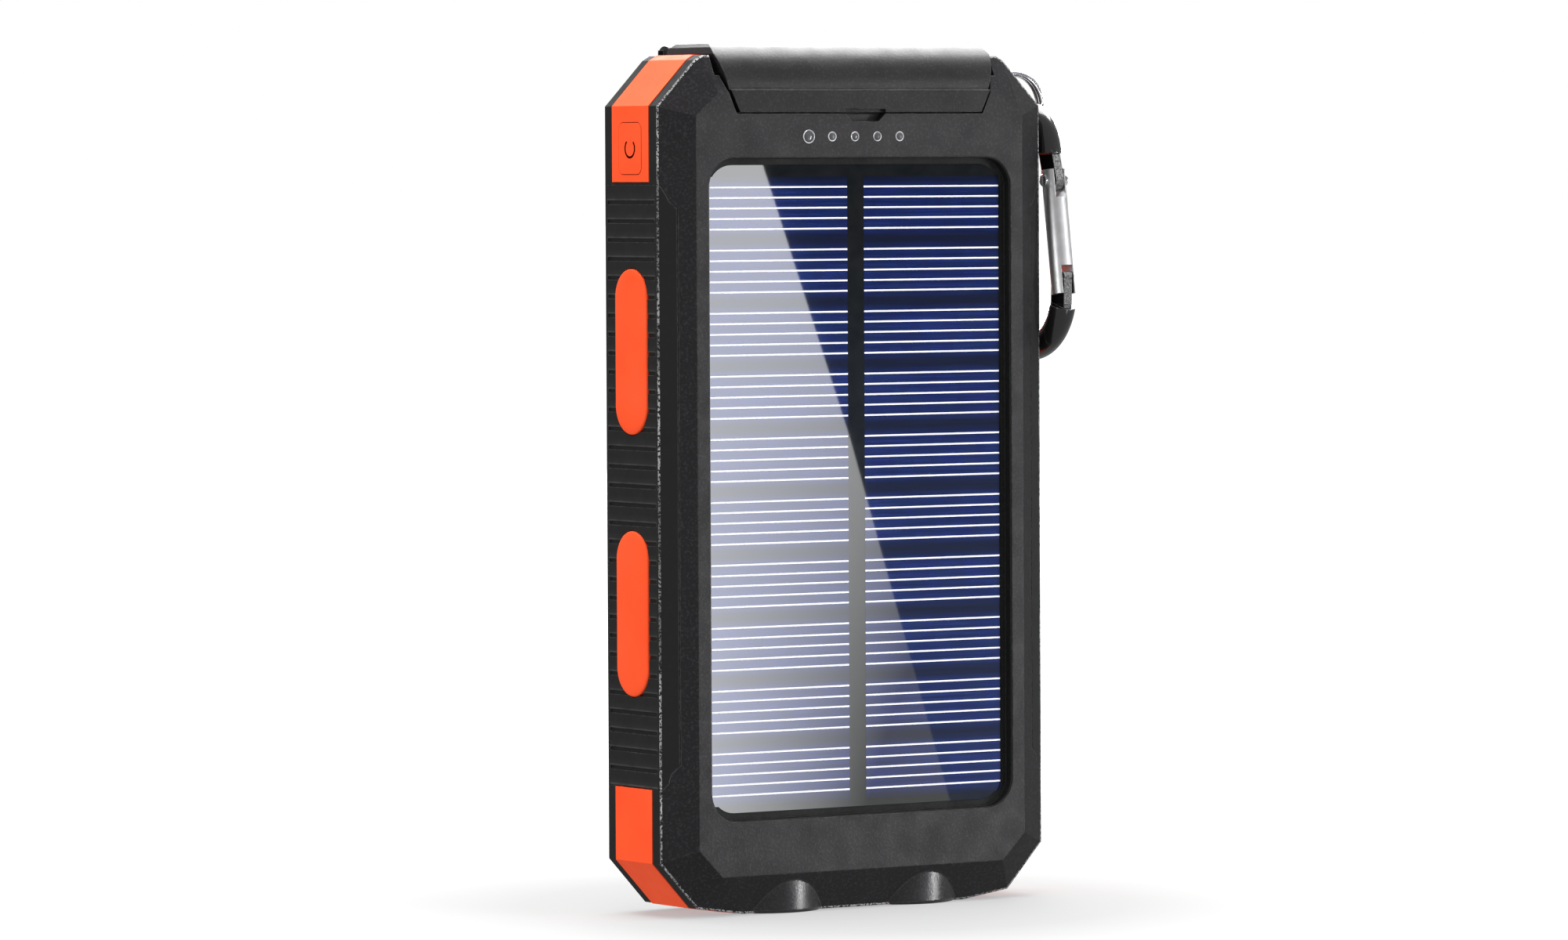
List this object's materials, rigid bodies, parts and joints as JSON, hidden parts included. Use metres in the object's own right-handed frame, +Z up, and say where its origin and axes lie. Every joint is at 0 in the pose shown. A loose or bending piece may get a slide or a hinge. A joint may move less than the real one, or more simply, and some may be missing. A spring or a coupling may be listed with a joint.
{
  "type": "solar power bank",
  "caption": "Rugged solar power bank with bevelled case, recessed solar panel, hinged port cover, end torches, compass, side grips and a snap hook on a split ring.",
  "frame": {"origin": "middle of the torch end, on the plane of the two torch rings that the charger stands on", "axes": "+X to the right seen from the solar panel, +Y from the panel to the back, +Z up to the port cover"},
  "size_m": [0.0827, 0.0243, 0.1434],
  "materials": {
    "shell_grey": "fine texture",
    "shell_black": "fine texture",
    "rubber_dark": "matte",
    "orange": "satin",
    "board_black": "matte",
    "solar_blue": "dark blue crystal",
    "clear_resin": "clear gloss",
    "clear_lens": "clear gloss",
    "lead_red": "insulated wire",
    "led_white": "gloss",
    "led_yellow": "phosphor",
    "board_green": "solder mask",
    "chip_black": "matte",
    "steel": "plain",
    "chrome_wire": "polished",
    "foil": "pouch foil",
    "foam": "foam",
    "mirror_coat": "mirror coating",
    "gloss_black": "gloss",
    "brass_pin": "polished",
    "hook_black": "gloss black",
    "satin_aluminium": "satin"
  },
  "bodies": {
    "case": {"front_shell": "shell_grey", "back_shell": "shell_black", "gasket_strips": "rubber_dark", "bumper_end": "rubber_dark", "corner_guard_left": "rubber_dark", "corner_guard_right": "rubber_dark", "grip_left": "rubber_dark", "grip_right": "rubber_dark", "grip_pads_left": "orange", "grip_pads_right": "orange", "corner_strip_left": "orange", "corner_strip_right": "orange", "torch_strip": "orange", "solar_board": "board_black", "solar_cells": "solar_blue", "panel_resin": "clear_resin", "panel_leads": "lead_red", "indicator_lenses": "clear_lens", "indicator_leds": "led_white", "circuit_board": "board_green", "board_parts": "chip_black", "power_switch": "steel", "usb_shell_left": "steel", "usb_shell_right": "steel", "usb_tongue_left": "led_white", "usb_tongue_right": "led_white", "micro_usb_shell": "steel", "micro_usb_tongue": "chip_black", "port_frame": "shell_black", "hinge_pin": "steel", "front_battery": "foil", "rear_battery": "foil", "battery_foam": "foam", "battery_leads": "lead_red", "torch_lead_left": "lead_red", "torch_lead_right": "lead_red", "torch_lens_left": "clear_lens", "torch_lens_right": "clear_lens", "reflector_left": "mirror_coat", "reflector_right": "mirror_coat", "torch_led_left": "led_yellow", "torch_led_right": "led_yellow", "compass_bowl": "gloss_black", "compass_pivot": "brass_pin", "compass_dome": "clear_lens", "case_screws": "steel", "screw_plugs": "shell_black"},
    "cover": {"port_cover": "shell_grey", "port_cover_seal": "rubber_dark"},
    "button": {"power_button": "orange"},
    "card": {"compass_card": "gloss_black"},
    "ring": {"split_ring": "chrome_wire"},
    "hook": {"hook_body": "hook_black"},
    "gate": {"hook_gate": "satin_aluminium", "hook_rivet": "steel", "gate_spring": "steel"}
  },
  "joints": [
    {"name": "cover_hinge", "type": "hinge", "parent": "case", "child": "cover", "pos_m": [0, 0.0089, 0.1406], "axis": [-1, 0, 0], "range_deg": [0, 110]},
    {"name": "button_press", "type": "slide", "parent": "case", "child": "button", "axis": [1, 0, 0], "range_m": [0, 0.0006], "stiffness_N_per_m": 800, "springref_m": -0.0005},
    {"name": "compass_spin", "type": "hinge", "parent": "case", "child": "card", "pos_m": [0, 0.0087, 0.1284], "axis": [0, 1, 0], "continuous": true},
    {"name": "ring_turn", "type": "hinge", "parent": "case", "child": "ring", "pos_m": [0.0383, 0, 0.1329], "axis": [0, -1, 0], "range_deg": [0, 90]},
    {"name": "hook_swing", "type": "hinge", "parent": "ring", "child": "hook", "pos_m": [0.04075, 0.00075, 0.1319], "axis": [0, -1, 0], "range_deg": [0, 90]},
    {"name": "gate_swing", "type": "hinge", "parent": "hook", "child": "gate", "pos_m": [0.04075, -0.0083, 0.1204], "axis": [1, 0, 0], "range_deg": [0, 25], "stiffness_Nm_per_rad": 0.02, "springref_deg": -11.46}
  ]
}
